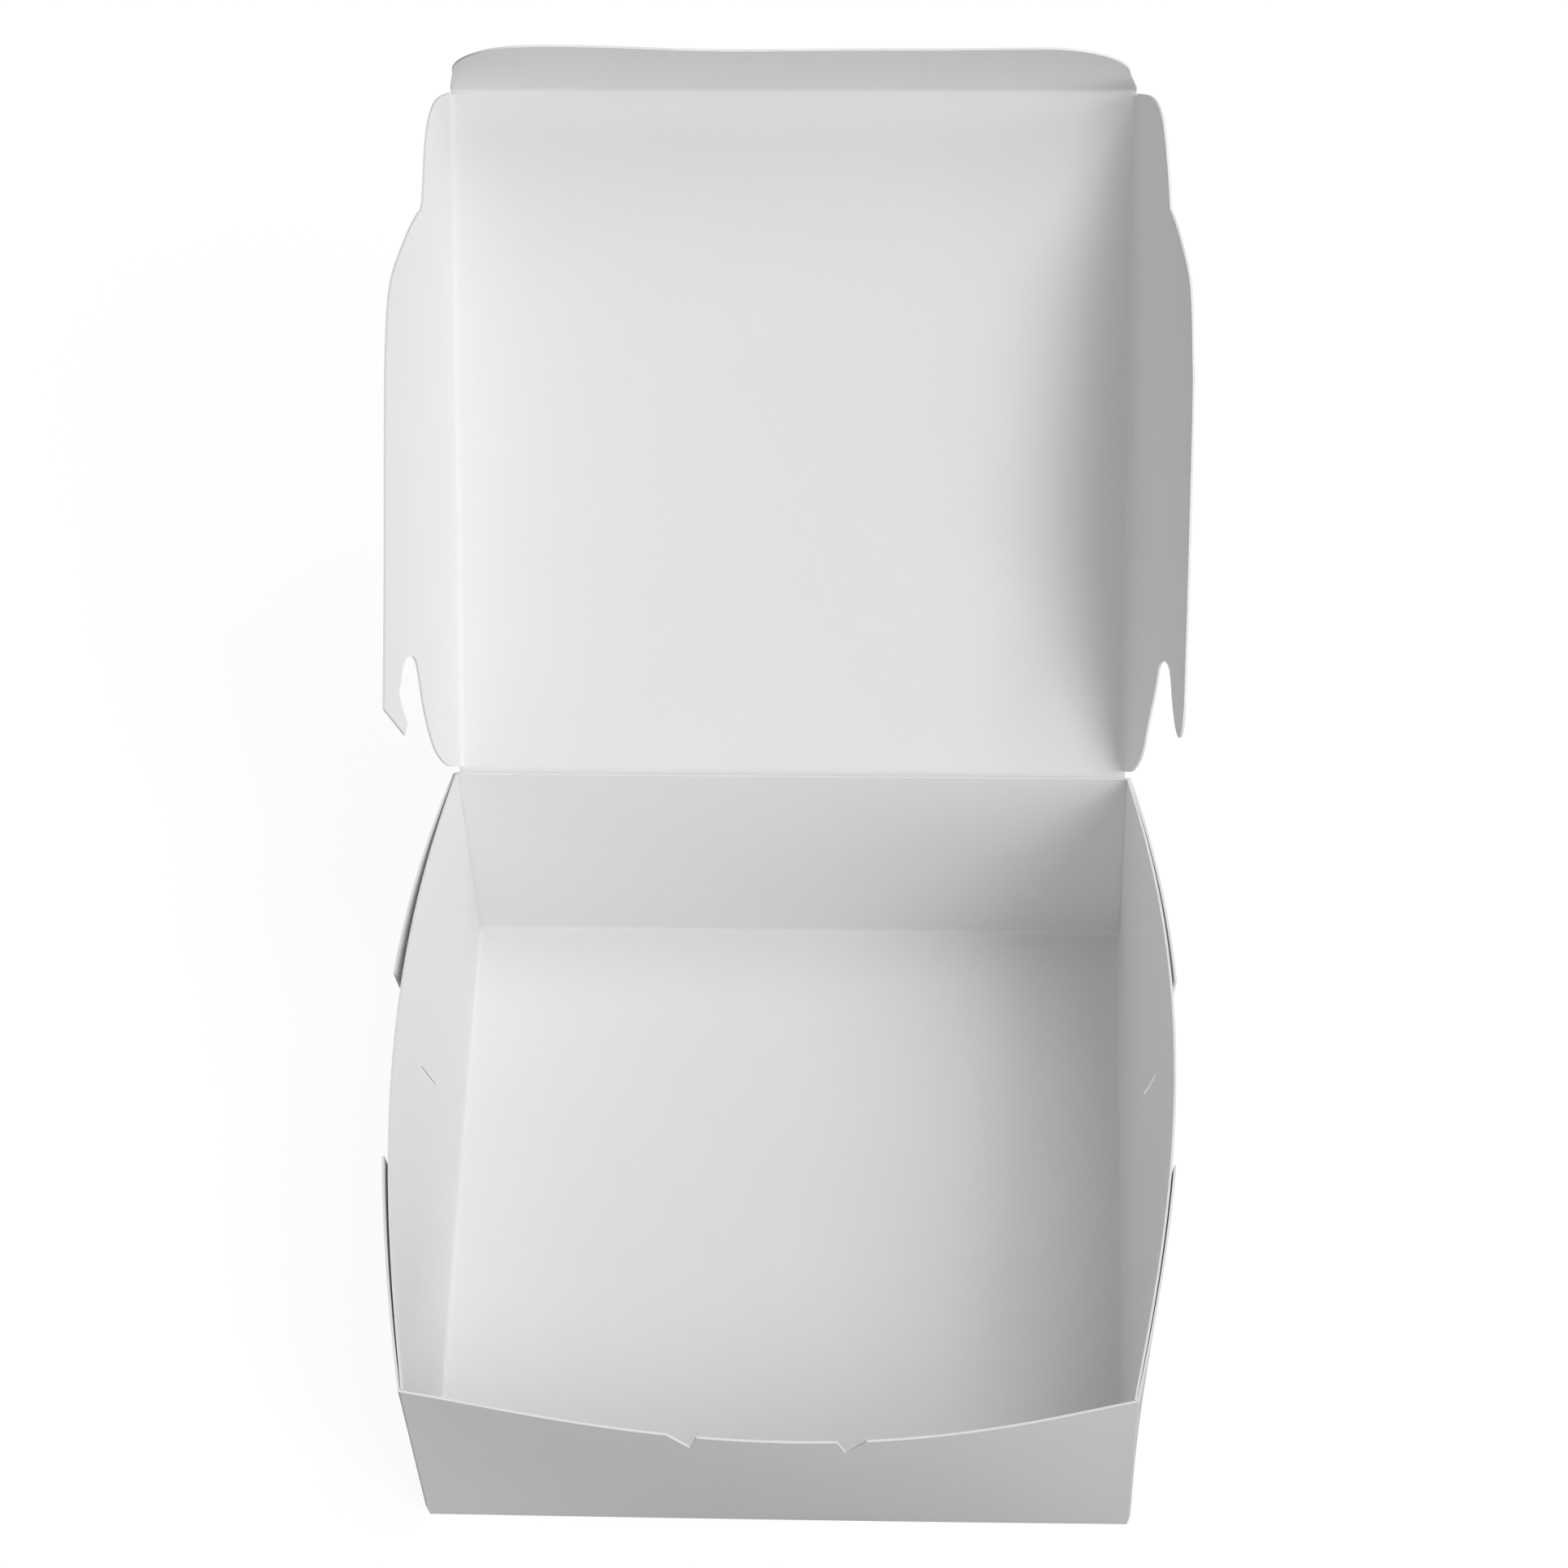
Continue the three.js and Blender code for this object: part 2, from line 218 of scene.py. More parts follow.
class Bench:
    """Modelling steps that every sheet shares. Lengths are millimetres until a piece is finished."""

    @staticmethod
    def take(obj: bpy.types.Object) -> None:
        """Selects one object alone and makes it the active one.

        Args:
            obj: The object.
        """
        bpy.ops.object.select_all(action="DESELECT")
        obj.select_set(True)
        bpy.context.view_layer.objects.active = obj

    @staticmethod
    def dress(obj: bpy.types.Object) -> None:
        """Gives an object the board's material slots, in the order of Face.

        Args:
            obj: The object.
        """
        obj.data.materials.clear()
        for finish in (SURFACE_FINISH, EDGE_FINISH_AND_HIGHLIGHT):
            obj.data.materials.append(finish.material())

    @staticmethod
    def plane(name: str, width: float, depth: float) -> bpy.types.Object:
        """Adds a level rectangle centred on the origin.

        Args:
            name: Name of the new object.
            width: Size along X.
            depth: Size along Y.

        Returns:
            The new object, selected and active.
        """
        bpy.ops.object.select_all(action="DESELECT")
        bpy.ops.mesh.primitive_plane_add(size=1.0, location=(0.0, 0.0, 0.0))
        obj = bpy.context.object
        obj.name = obj.data.name = name
        obj.scale = (width, depth, 1.0)
        bpy.ops.object.transform_apply(location=True, rotation=True, scale=True)
        return obj

    @staticmethod
    def outline_face(name: str, outline: list[Vector]) -> bpy.types.Object:
        """Adds a filled circle and lays its rim on an outline in the XY plane.

        Args:
            name: Name of the new object.
            outline: Rim points in order, not repeated at the end.

        Returns:
            The new object, selected and active.
        """
        bpy.ops.object.select_all(action="DESELECT")
        bpy.ops.mesh.primitive_circle_add(vertices=len(outline), radius=1.0, fill_type="NGON")
        obj = bpy.context.object
        obj.name = obj.data.name = name
        for vertex, point in zip(obj.data.vertices, outline):
            vertex.co = (point.x, point.y, 0.0)
        return obj

    @staticmethod
    def pick_edges(obj: bpy.types.Object, test: EdgeTest) -> None:
        """Enters edit mode with only the edges that pass a test selected.

        Args:
            obj: The object to edit.
            test: Takes an edge's two ends and says whether it is wanted.
        """
        bpy.context.view_layer.objects.active = obj
        if obj.mode != "EDIT":
            bpy.ops.object.mode_set(mode="EDIT")
        bpy.context.tool_settings.mesh_select_mode = (False, True, False)
        bpy.ops.mesh.select_all(action="DESELECT")
        mesh = bmesh.from_edit_mesh(obj.data)
        for edge in mesh.edges:
            edge.select_set(test(edge.verts[0].co, edge.verts[1].co))
        bmesh.update_edit_mesh(obj.data)

    @staticmethod
    def extrude(obj: bpy.types.Object, test: EdgeTest, move: Move) -> None:
        """Extrudes the chosen edges into new faces.

        Args:
            obj: The object to edit.
            test: Chooses the edges.
            move: How far the new edges move.
        """
        Bench.pick_edges(obj, test)
        bpy.ops.mesh.extrude_region_move(TRANSFORM_OT_translate={"value": move})
        bpy.ops.object.mode_set(mode="OBJECT")

    @staticmethod
    def bevel(obj: bpy.types.Object, test: EdgeTest, radius: float) -> None:
        """Rounds the chosen creases.

        Args:
            obj: The object to edit.
            test: Chooses the edges.
            radius: Width of the rounding on each side of the crease.
        """
        Bench.pick_edges(obj, test)
        bpy.ops.mesh.bevel(offset=radius, segments=FOLD_STEPS, affect="EDGES", clamp_overlap=False)
        bpy.ops.object.mode_set(mode="OBJECT")

    @staticmethod
    def cut_loops(obj: bpy.types.Object, axis: int, places: list[float]) -> None:
        """Cuts straight loops across an object at places along an axis.

        Args:
            obj: The object to edit.
            axis: 0, 1 or 2 for X, Y or Z.
            places: Where each cut lies.
        """
        bpy.context.view_layer.objects.active = obj
        bpy.ops.object.mode_set(mode="EDIT")
        normal = Vector((0.0, 0.0, 0.0))
        normal[axis] = 1.0
        for place in places:
            bpy.ops.mesh.select_all(action="SELECT")
            bpy.ops.mesh.bisect(plane_co=normal * place, plane_no=normal, threshold=CUT_TOLERANCE)
        bpy.ops.object.mode_set(mode="OBJECT")

    @staticmethod
    def face_up(obj: bpy.types.Object, up: bool = True) -> None:
        """Turns an open sheet so that its level faces look up, or down.

        Args:
            obj: The sheet.
            up: Whether they look up.
        """
        bpy.context.view_layer.objects.active = obj
        bpy.ops.object.mode_set(mode="EDIT")
        bpy.ops.mesh.select_all(action="SELECT")
        bpy.ops.mesh.normals_make_consistent(inside=False)
        bpy.ops.object.mode_set(mode="OBJECT")
        level = sum(face.normal.z * face.area for face in obj.data.polygons)
        if (level > 0.0) != up:
            obj.data.flip_normals()

    @staticmethod
    def thicken(obj: bpy.types.Object, offset: float) -> None:
        """Gives a sheet the board's thickness, with the cut edge's material on its rim, whose lighter
        shade is a painted highlight.

        Args:
            obj: The sheet.
            offset: -1 to grow behind the faces, 0 to grow both ways.
        """
        Bench.dress(obj)
        wall = obj.modifiers.new("board", "SOLIDIFY")
        wall.thickness = BOARD
        wall.offset = offset
        wall.use_even_offset = True
        wall.use_quality_normals = True
        wall.material_offset_rim = Face.CUT_EDGE.value
        Bench.apply(obj, wall)

    @staticmethod
    def apply(obj: bpy.types.Object, modifier: bpy.types.Modifier) -> None:
        """Applies one modifier of an object."""
        Bench.take(obj)
        bpy.ops.object.modifier_apply(modifier=modifier.name)

    @staticmethod
    def cut_away(obj: bpy.types.Object, cutter: bpy.types.Object) -> None:
        """Cuts one closed object out of another and removes it.

        Args:
            obj: The object that is cut.
            cutter: The closed shape that is taken out of it.
        """
        Bench.dress(cutter)
        for face in cutter.data.polygons:
            face.material_index = Face.CUT_EDGE.value
        cut = obj.modifiers.new("cut", "BOOLEAN")
        cut.operation = "DIFFERENCE"
        cut.solver = "EXACT"
        cut.object = cutter
        Bench.apply(obj, cut)
        bpy.data.objects.remove(cutter, do_unlink=True)

    @staticmethod
    def finish(obj: bpy.types.Object, place: Matrix) -> bpy.types.Object:
        """Smooths a piece and sets it in the row's frame, in metres.

        Args:
            obj: The finished piece, in millimetres.
            place: Where the piece's own frame lies, in millimetres.

        Returns:
            The same piece, at the origin with its place in its mesh.
        """
        obj.data.transform(Matrix.Scale(MM, 4) @ place)
        Bench.take(obj)
        bpy.ops.object.shade_smooth_by_angle(angle=math.radians(SMOOTH_ANGLE))
        return obj


class Outline:
    """A cut line in the XY plane, drawn with lines, splines and arcs."""

    STEPS = 8

    def __init__(self, x: float, y: float) -> None:
        """Starts the outline at a point."""
        self.points: list[Vector] = [Vector((x, y))]

    def line(self, x: float, y: float) -> "Outline":
        """Adds a straight cut to a point."""
        self.points.append(Vector((x, y)))
        return self

    def spline(self, knots: list[tuple[float, float]]) -> "Outline":
        """Adds a smooth cut through points, starting where the outline stands.

        Args:
            knots: The points it passes through.

        Returns:
            The outline, for the next cut.
        """
        path = [self.points[-1]] + [Vector(knot) for knot in knots]
        last = len(path) - 1
        for index in range(last):
            before, here = path[max(index - 1, 0)], path[index]
            there, after = path[index + 1], path[min(index + 2, last)]
            leave, arrive = (there - before) / 2.0, (after - here) / 2.0
            for step in range(1, self.STEPS + 1):
                t = step / self.STEPS
                self.points.append(
                    (2.0 * t**3 - 3.0 * t**2 + 1.0) * here
                    + (t**3 - 2.0 * t**2 + t) * leave
                    + (3.0 * t**2 - 2.0 * t**3) * there
                    + (t**3 - t**2) * arrive
                )
        return self

    def arc(self, x: float, y: float, radius: float, start: float, end: float) -> "Outline":
        """Adds an arc about a centre.

        Args:
            x: The centre's x.
            y: The centre's y.
            radius: Radius of the arc.
            start: Angle at which it starts, in degrees.
            end: Angle at which it ends, in degrees.

        Returns:
            The outline, for the next cut.
        """
        steps = 2 * self.STEPS
        for step in range(steps + 1):
            angle = math.radians(start + (end - start) * step / steps)
            self.points.append(Vector((x + radius * math.cos(angle), y + radius * math.sin(angle))))
        return self


def smooth_step(low: float, high: float, value: float) -> float:
    """Rises smoothly from 0 at low to 1 at high."""
    t = min(1.0, max(0.0, (value - low) / (high - low)))
    return t * t * (3.0 - 2.0 * t)


def spread(low: float, high: float, count: int) -> list[float]:
    """Places that divide a span into equal parts, its ends left out."""
    return [low + (high - low) * index / count for index in range(1, count)]


@dataclass
class Tray:
    """Floor, four walls and four glued tabs as one folded sheet. Millimetres.

    Attributes:
        side_bow_from: Share of the half width past which a point takes its side wall's bow.
        front_bow_from: Distance from the floor's front edge at which the front wall's bow starts.
        front_bow_full: The same distance where that bow is whole.
    """

    width: float = 150.0
    depth: float = 150.0
    hinge_height: float = 60.0
    seat_gap: float = 0.35
    front_lean: float = 1.0
    back_lean: float = 3.0
    front_flare: float = 0.4
    bows: dict[Side, float] = field(default_factory=lambda: {Side.LEFT: 8.2, Side.RIGHT: 9.3})
    front_bow: float = 8.4
    side_bow_fullness: float = 1.05
    side_bow_skew: float = 0.16
    front_bow_fullness: float = 1.15
    front_bow_skew: float = 0.17
    barrel_turn: float = 1.1
    front_dip: float = 3.7
    crease_radius: float = 1.3
    corner_relief: float = 1.8
    relief_height: float = 2.4
    wall_gap: float = 0.05
    tab_lengths: dict[End, float] = field(default_factory=lambda: {End.FRONT: 54.0, End.BACK: 51.5})
    tab_foot: float = 2.0
    tab_rise: float = 7.0
    tab_spring_rise: float = 0.6
    side_bow_from: float = 0.8
    front_bow_from: float = 1.5
    front_bow_full: float = 0.3
    springs: dict[tuple[Side, End], float] = field(
        default_factory=lambda: {
            (Side.LEFT, End.BACK): 1.6,
            (Side.RIGHT, End.BACK): 0.6,
            (Side.LEFT, End.FRONT): 0.7,
            (Side.RIGHT, End.FRONT): 0.3,
        }
    )
    notch_depth: float = 6.0
    notch_inner: float = 14.3
    notch_bottom: float = 15.9
    notch_outer: float = 20.3
    notch_overcut: float = 5.0
    notch_start: float = 3.0
    notch_reach: float = 6.0
    slit_width: float = 0.9
    slit_length: float = 13.0
    slit_y: float = 16.5
    slit_height: float = 30.0
    slit_tilt: float = 12.0
    slit_start: float = 2.0
    slit_reach: float = 14.0
    wall_loops: int = 44
    height_loops: int = 14

    @property
    def height(self) -> float:
        """Height of the side walls and of the front wall's corners."""
        return self.hinge_height - BOARD / 2.0 - self.seat_gap

    @property
    def side_x(self) -> float:
        """Half the outer width across the side walls, under the tabs."""
        return self.width / 2.0 - BOARD

    @property
    def tab_x(self) -> float:
        """Half the outer width across the glued tabs."""
        return self.width / 2.0 + self.wall_gap

    @property
    def seam(self) -> float:
        """Distance of the side walls' ends from the middle, at the floor."""
        return self.depth / 2.0 - self.corner_relief

    @staticmethod
    def bow(along: float, fullness: float, skew: float) -> float:
        """Share of a wall's outward bow at a place from -1 at one end of the wall to 1 at the other."""
        return max(0.0, 1.0 - along * along) ** fullness * (1.0 + skew * along)

    def side_bow(self, along: float) -> float:
        """Share of a side wall's outward bow, from -1 at the front to 1 at the back."""
        return self.bow(along, self.side_bow_fullness, self.side_bow_skew)

    def front_bow_at(self, x: float) -> float:
        """Share of the front wall's outward bow and of its edge's dip at a place across the tray."""
        return self.bow(x / (self.width / 2.0), self.front_bow_fullness, self.front_bow_skew)

    def barrel(self, up: float) -> float:
        """Share of the bow that a wall has reached at a height from 0 to 1."""
        return math.sin(self.barrel_turn * up) / math.sin(self.barrel_turn)

    def formed(self, flat: Vector) -> Vector:
        """Moves a point of the straight-sided tray to where the bowed tray has it.

        Args:
            flat: The point on the straight-sided tray.

        Returns:
            The point on the bowed, leaning tray.
        """
        x, y, z = flat
        side = Side.LEFT if x < 0.0 else Side.RIGHT
        on_tab = abs(x) > self.side_x + BOARD / 2.0
        end = End.FRONT if y < 0.0 else End.BACK
        spring = 0.0
        if on_tab:
            out = min(1.0, max(0.0, (self.depth / 2.0 - abs(y)) / self.tab_lengths[end]))
            rise = z / self.height
            low = self.tab_foot + self.tab_rise * out
            z = low + rise * (self.height - low)
            spring = self.springs[(side, end)] * out**self.tab_spring_rise * rise**2
        up = min(1.0, max(0.0, z / self.height))
        across = y / self.depth + 0.5
        full = self.bows[side] * self.side_bow(2.0 * across - 1.0) * self.barrel(up)
        on_side = smooth_step(self.side_bow_from, 1.0, abs(x) / self.side_x)
        flare = self.front_flare * (1.0 - across) * up * abs(x) / self.side_x
        from_edge = y + self.depth / 2.0
        on_front = smooth_step(self.front_bow_from, self.front_bow_full, from_edge)
        front = self.front_bow_at(x) * on_front
        lean = up * (self.back_lean * across - self.front_lean * (1.0 - across))
        return Vector(
            (
                x + side.value * (full * on_side + flare + spring),
                y + lean - self.front_bow * self.barrel(up) * front,
                z - self.front_dip * up * front,
            )
        )

    def folded_sheet(self) -> bpy.types.Object:
        """Folds the tray's sheet with straight walls, outer face outwards.

        Returns:
            The open sheet, with rounded creases.
        """
        sheet = Bench.plane("tray_sheet", 2.0 * self.side_x, self.depth)
        Bench.cut_loops(sheet, 1, [-self.seam, self.seam])
        self.raise_walls(sheet)
        for side in Side:
            for end in End:
                self.fold_tab(sheet, side, end)
        self.round_folds(sheet)
        Bench.face_up(sheet, up=False)
        return sheet

    def raise_walls(self, sheet: bpy.types.Object) -> None:
        """Folds up the four walls, and draws the side walls' ends out to the front and back walls.

        Args:
            sheet: The tray's flat floor.
        """
        half, back_top = self.depth / 2.0, self.hinge_height - CREASE_REACH
        for end, height in ((End.FRONT, self.height), (End.BACK, back_top)):
            Bench.extrude(sheet, lambda a, b: edge_at(a, b, 1, end.value * half), (0.0, 0.0, height))
        for side in Side:
            Bench.extrude(
                sheet,
                lambda a, b: edge_at(a, b, 0, side.value * self.side_x)
                and max(abs(a.y), abs(b.y)) < self.seam + SAME_PLACE
                and max(a.z, b.z) < SAME_PLACE,
                (0.0, 0.0, self.height),
            )
        Bench.cut_loops(sheet, 2, [self.relief_height])
        wall_end = half - BOARD - self.wall_gap
        for vertex in sheet.data.vertices:
            x, y, z = vertex.co
            if near(abs(x), self.side_x) and near(abs(y), self.seam) and z > ABOVE_FLOOR:
                vertex.co.y = math.copysign(wall_end, y)

    def fold_tab(self, sheet: bpy.types.Object, side: Side, end: End) -> None:
        """Folds one glue tab round its corner and back along the outside of the side wall.

        Args:
            sheet: The tray's sheet with its walls up.
            side: Which side wall the tab lies on.
            end: Whether it comes from the front or the back wall.
        """

        def on_free_edge(first: Vector, second: Vector, x: float) -> bool:
            """Whether an edge is the sheet's upright end at a distance from the middle."""
            return (
                edge_at(first, second, 0, side.value * x)
                and edge_at(first, second, 1, end.value * self.depth / 2.0)
                and min(first.z, second.z) > ABOVE_FLOOR
            )

        outwards = side.value * (self.tab_x - self.side_x)
        inwards = -end.value * self.tab_lengths[end]
        Bench.extrude(sheet, lambda a, b: on_free_edge(a, b, self.side_x), (outwards, 0.0, 0.0))
        Bench.extrude(sheet, lambda a, b: on_free_edge(a, b, self.tab_x), (0.0, inwards, 0.0))

    def round_folds(self, sheet: bpy.types.Object) -> None:
        """Rounds the folds between floor and walls, then those between walls and tabs.

        Args:
            sheet: The tray's folded sheet.
        """
        half = self.depth / 2.0

        def on_floor_fold(first: Vector, second: Vector) -> bool:
            """Whether an edge is a fold between the floor and a wall.

            Args:
                first: One end of the edge.
                second: The other end.

            Returns:
                True on the four folds, and False beside the seams.
            """
            at_end = near(abs(first.y), half) and near(first.y, second.y)
            at_side = near(abs(first.x), self.side_x) and near(first.x, second.x)
            within_seams = max(abs(first.y), abs(second.y)) < self.seam + SAME_PLACE
            return max(first.z, second.z) < SAME_PLACE and (at_end or (at_side and within_seams))

        def on_tab_fold(first: Vector, second: Vector) -> bool:
            """Whether an edge is the upright fold at a corner where a tab starts."""
            at_side = near(abs(first.x), self.tab_x) and near(first.x, second.x)
            return at_side and near(abs(first.y), half) and near(first.y, second.y)

        Bench.bevel(sheet, on_floor_fold, self.crease_radius)
        Bench.bevel(sheet, on_tab_fold, BOARD)

    def notch_cutter(self, side: Side) -> bpy.types.Object:
        """Makes the wedge that cuts one thumb notch.

        Args:
            side: Which of the two notches.

        Returns:
            A closed prism through the front wall.
        """
        edge = self.height - self.front_dip * self.front_bow_at(side.value * self.notch_bottom)
        grow = self.notch_overcut / self.notch_depth
        inner = self.notch_inner - (self.notch_bottom - self.notch_inner) * grow
        outer = self.notch_outer + (self.notch_outer - self.notch_bottom) * grow
        corners = [
            Vector((side.value * self.notch_bottom, edge - self.notch_depth)),
            Vector((side.value * outer, edge + self.notch_overcut)),
            Vector((side.value * inner, edge + self.notch_overcut)),
        ]
        wedge = Bench.outline_face("notch_cutter", corners)
        wedge.data.transform(Matrix.Rotation(math.radians(90.0), 4, "X"))
        wedge.data.transform(Matrix.Translation((0.0, -self.depth / 2.0 + self.notch_start, 0.0)))
        outwards = -self.front_bow - self.front_lean - self.notch_reach
        return self.closed_prism(wedge, (0.0, outwards, 0.0))

    def slit_cutter(self, side: Side) -> bpy.types.Object:
        """Makes the thin blade that cuts one lock slit.

        Args:
            side: Which side wall it goes through.

        Returns:
            A closed blade through the wall.
        """
        half_width, tip = self.slit_width / 2.0, self.slit_length / 2.0
        shoulder = tip - half_width
        corners = Outline(-half_width, -shoulder).line(0.0, -tip).line(half_width, -shoulder)
        corners.line(half_width, shoulder).line(0.0, tip).line(-half_width, shoulder)
        blade = Bench.outline_face("slit_cutter", corners.points)
        for turn, axis in ((90.0, "X"), (90.0, "Z"), (self.slit_tilt, "X")):
            blade.data.transform(Matrix.Rotation(math.radians(turn), 4, axis))
        start = side.value * (self.side_x - self.slit_start)
        blade.data.transform(Matrix.Translation((start, self.slit_y, self.slit_height)))
        return self.closed_prism(blade, (side.value * self.slit_reach, 0.0, 0.0))

    @staticmethod
    def closed_prism(face: bpy.types.Object, move: Move) -> bpy.types.Object:
        """Extrudes a flat face into a closed prism with its faces outwards.

        Args:
            face: An object of one flat face.
            move: The prism's length and direction.

        Returns:
            The same object, closed.
        """
        bpy.context.view_layer.objects.active = face
        bpy.ops.object.mode_set(mode="EDIT")
        bpy.ops.mesh.select_all(action="SELECT")
        bpy.ops.mesh.extrude_region_move(TRANSFORM_OT_translate={"value": move})
        bpy.ops.mesh.select_all(action="SELECT")
        bpy.ops.mesh.normals_make_consistent(inside=False)
        bpy.ops.object.mode_set(mode="OBJECT")
        return face

    def build(self) -> bpy.types.Object:
        """Folds, forms and cuts the tray.

        Returns:
            The finished tray piece.
        """
        sheet = self.folded_sheet()
        Bench.cut_loops(sheet, 0, spread(-self.side_x, self.side_x, self.wall_loops))
        Bench.cut_loops(sheet, 1, spread(-self.depth / 2.0, self.depth / 2.0, self.wall_loops))
        Bench.cut_loops(sheet, 2, spread(0.0, self.height, self.height_loops))
        for vertex in sheet.data.vertices:
            vertex.co = self.formed(vertex.co)
        Bench.thicken(sheet, offset=-1.0)
        for side in Side:
            Bench.cut_away(sheet, self.notch_cutter(side))
            Bench.cut_away(sheet, self.slit_cutter(side))
        piece = Bench.finish(sheet, Matrix.Identity(4))
        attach(piece, "tray")
        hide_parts("tray")
        return piece


@dataclass
class Lid:
    """The lid panel, in a frame whose origin is the hinge and whose Y runs up the panel. Millimetres."""

    length: float = 149.6
    hinge_width: float = 147.0
    front_width: float = 149.2
    raised: float = 41.8
    flap_fold: float = 74.0
    belly: float = 0.5
    hinge_y: float = 78.0
    hinge_z: float = 60.0
    loops: int = 36

    @property
    def taper(self) -> float:
        """Angle in radians between a side crease and the panel's middle line."""
        return math.atan((self.front_width - self.hinge_width) / 2.0 / self.length)

    def place(self) -> Matrix:
        """Frame of the lid panel in the row's frame."""
        hinge = Matrix.Translation((0.0, self.hinge_y, self.hinge_z))
        return hinge @ Matrix.Rotation(math.radians(self.raised), 4, "X")

    def half_width(self, along: float) -> float:
        """Half the panel's width at a distance from the hinge."""
        return (self.hinge_width + (self.front_width - self.hinge_width) * along / self.length) / 2.0

    def side_place(self, side: Side) -> Matrix:
        """Frame of a side flap: Y along its crease, and X outwards in the flap's own plane.

        Args:
            side: Which side flap.

        Returns:
            The flap's frame in the row's frame.
        """
        crease = Matrix.Translation((side.value * self.hinge_width / 2.0, 0.0, 0.0))
        turn = Matrix.Rotation(-side.value * self.taper, 4, "Z")
        fold = Matrix.Rotation(-side.value * math.radians(self.flap_fold), 4, "Y")
        return self.place() @ crease @ turn @ fold

    def front_place(self) -> Matrix:
        """Frame of the front flap: X along its crease, Y out in the flap's own plane."""
        crease = Matrix.Translation((0.0, self.length, 0.0))
        return self.place() @ crease @ Matrix.Rotation(math.radians(self.flap_fold), 4, "X")

    def build(self) -> bpy.types.Object:
        """Models the lid panel between its creases.

        Returns:
            The finished panel.
        """
        low, high = CREASE_REACH, self.length - CREASE_REACH
        rim = [
            Vector((-self.half_width(low) + CREASE_REACH, low)),
            Vector((self.half_width(low) - CREASE_REACH, low)),
            Vector((self.half_width(high) - CREASE_REACH, high)),
            Vector((-self.half_width(high) + CREASE_REACH, high)),
        ]
        panel = Bench.outline_face("lid_panel_sheet", rim)
        Bench.cut_loops(panel, 0, spread(-self.hinge_width / 2.0, self.hinge_width / 2.0, self.loops))
        Bench.cut_loops(panel, 1, spread(0.0, self.length, self.loops))
        Bench.face_up(panel)
        for vertex in panel.data.vertices:
            x = vertex.co.x / self.half_width(vertex.co.y)
            y = 2.0 * vertex.co.y / self.length - 1.0
            vertex.co.z -= self.belly * max(0.0, 1.0 - x * x) ** 2 * max(0.0, 1.0 - y * y) ** 2
        Bench.thicken(panel, offset=0.0)
        piece = Bench.finish(panel, self.place())
        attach(piece, "lid")
        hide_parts("lid_panel")
        return piece


